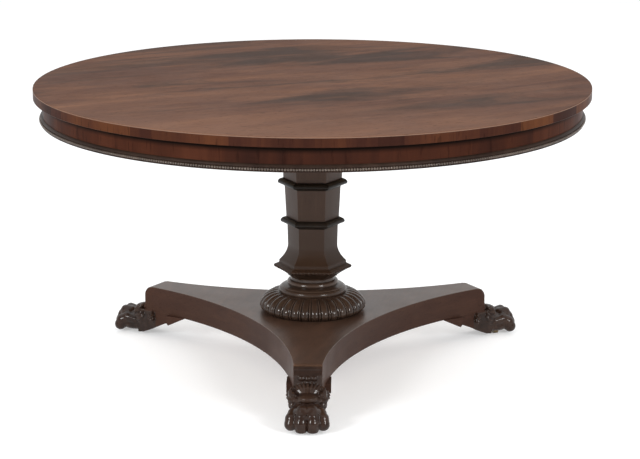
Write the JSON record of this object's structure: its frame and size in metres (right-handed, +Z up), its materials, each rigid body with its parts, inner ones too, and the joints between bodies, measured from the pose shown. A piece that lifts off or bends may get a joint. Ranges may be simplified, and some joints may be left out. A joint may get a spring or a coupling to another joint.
{
  "type": "tilt-top centre table",
  "caption": "Round tilt-top centre table: beaded frieze, hexagonal column with mitred collars, gadrooned base, hollow-sided platform and carved paw feet on sunk castors.",
  "frame": {"origin": "on the floor, on the axis of the column and of the round top", "axes": "+Z up; -Y towards the front leg; the top tilts with its front edge going up"},
  "size_m": [1.3998, 1.4, 0.73],
  "materials": {
    "rosewood_top": "french polish, satin",
    "rosewood_edge": "french polish",
    "rosewood_dark": "french polish",
    "ebonised": "polished",
    "platform_veneer": "french polish",
    "carved_foot": "polished carving",
    "pine": "bare, planed",
    "mahogany_ground": "bare, planed",
    "beech": "bare",
    "brass": "lacquered, worn",
    "old_brass": "dull",
    "iron": "dull",
    "black_iron": "black"
  },
  "bodies": {
    "pedestal": {"catch_keep": "brass", "keep_screws": "brass", "pillar_block": "mahogany_ground", "pivot_pins": "iron", "column_core": "mahogany_ground", "tenon_wedge": "beech", "upper_shaft": "rosewood_dark", "upper_collar": "ebonised", "middle_shaft": "rosewood_dark", "lower_collar": "ebonised", "lower_shaft": "rosewood_dark", "column_lip": "rosewood_dark", "turned_neck": "rosewood_dark", "turned_cushion": "rosewood_dark", "cushion_ring": "rosewood_dark", "gadroon_collar": "rosewood_dark", "arm_front": "mahogany_ground", "arm_right": "mahogany_ground", "arm_left": "mahogany_ground", "platform_top_veneer": "platform_veneer", "platform_side_veneer": "platform_veneer", "spider_plate": "black_iron", "spider_screws": "iron", "pedestal_bolt": "iron", "pedestal_washer": "iron", "pedestal_nut": "iron", "foot_brackets": "carved_foot", "knee_dowels": "beech", "foot_dowels": "beech", "castor_plates": "old_brass", "castor_screws": "old_brass", "knee_front": "carved_foot", "paw_front": "carved_foot", "knee_right": "carved_foot", "paw_right": "carved_foot", "knee_left": "carved_foot", "paw_left": "carved_foot"},
    "top": {"top_boards": "pine", "top_veneer": "rosewood_top", "edge_banding": "rosewood_edge", "frieze_bricks": "pine", "frieze_veneer": "rosewood_edge", "bead_moulding": "rosewood_dark", "glue_blocks": "pine", "bearer_left": "mahogany_ground", "bearer_right": "mahogany_ground", "bearer_screws": "iron", "catch_case": "brass", "catch_screws": "brass"},
    "bolt": {"catch_bolt": "brass", "catch_knob": "brass"},
    "castor_front": {"castor_fork_front": "old_brass"},
    "wheel_front": {"castor_wheel_front": "old_brass"},
    "castor_right": {"castor_fork_right": "old_brass"},
    "wheel_right": {"castor_wheel_right": "old_brass"},
    "castor_left": {"castor_fork_left": "old_brass"},
    "wheel_left": {"castor_wheel_left": "old_brass"}
  },
  "joints": [
    {"name": "top_tilt", "type": "hinge", "parent": "pedestal", "child": "top", "pos_m": [0, 0.175, 0.675], "axis": [-1, 0, 0], "range_deg": [0, 88]},
    {"name": "bolt_slide", "type": "slide", "parent": "top", "child": "bolt", "axis": [0, 1, 0], "range_m": [0, 0.015]},
    {"name": "swivel_front", "type": "hinge", "parent": "pedestal", "child": "castor_front", "pos_m": [0, -0.556, 0.037], "axis": [0, 0, 1], "continuous": true},
    {"name": "roll_front", "type": "hinge", "parent": "castor_front", "child": "wheel_front", "pos_m": [0.015, -0.556, 0.014], "axis": [0, 1, 0], "continuous": true},
    {"name": "swivel_right", "type": "hinge", "parent": "pedestal", "child": "castor_right", "pos_m": [0.48151, 0.278, 0.037], "axis": [0, 0, 1], "continuous": true},
    {"name": "roll_right", "type": "hinge", "parent": "castor_right", "child": "wheel_right", "pos_m": [0.48539, 0.26351, 0.014], "axis": [0.9659, 0.2588, 0], "continuous": true},
    {"name": "swivel_left", "type": "hinge", "parent": "pedestal", "child": "castor_left", "pos_m": [-0.48151, 0.278, 0.037], "axis": [0, 0, 1], "continuous": true},
    {"name": "roll_left", "type": "hinge", "parent": "castor_left", "child": "wheel_left", "pos_m": [-0.48151, 0.293, 0.014], "axis": [-1, 0, 0], "continuous": true}
  ]
}
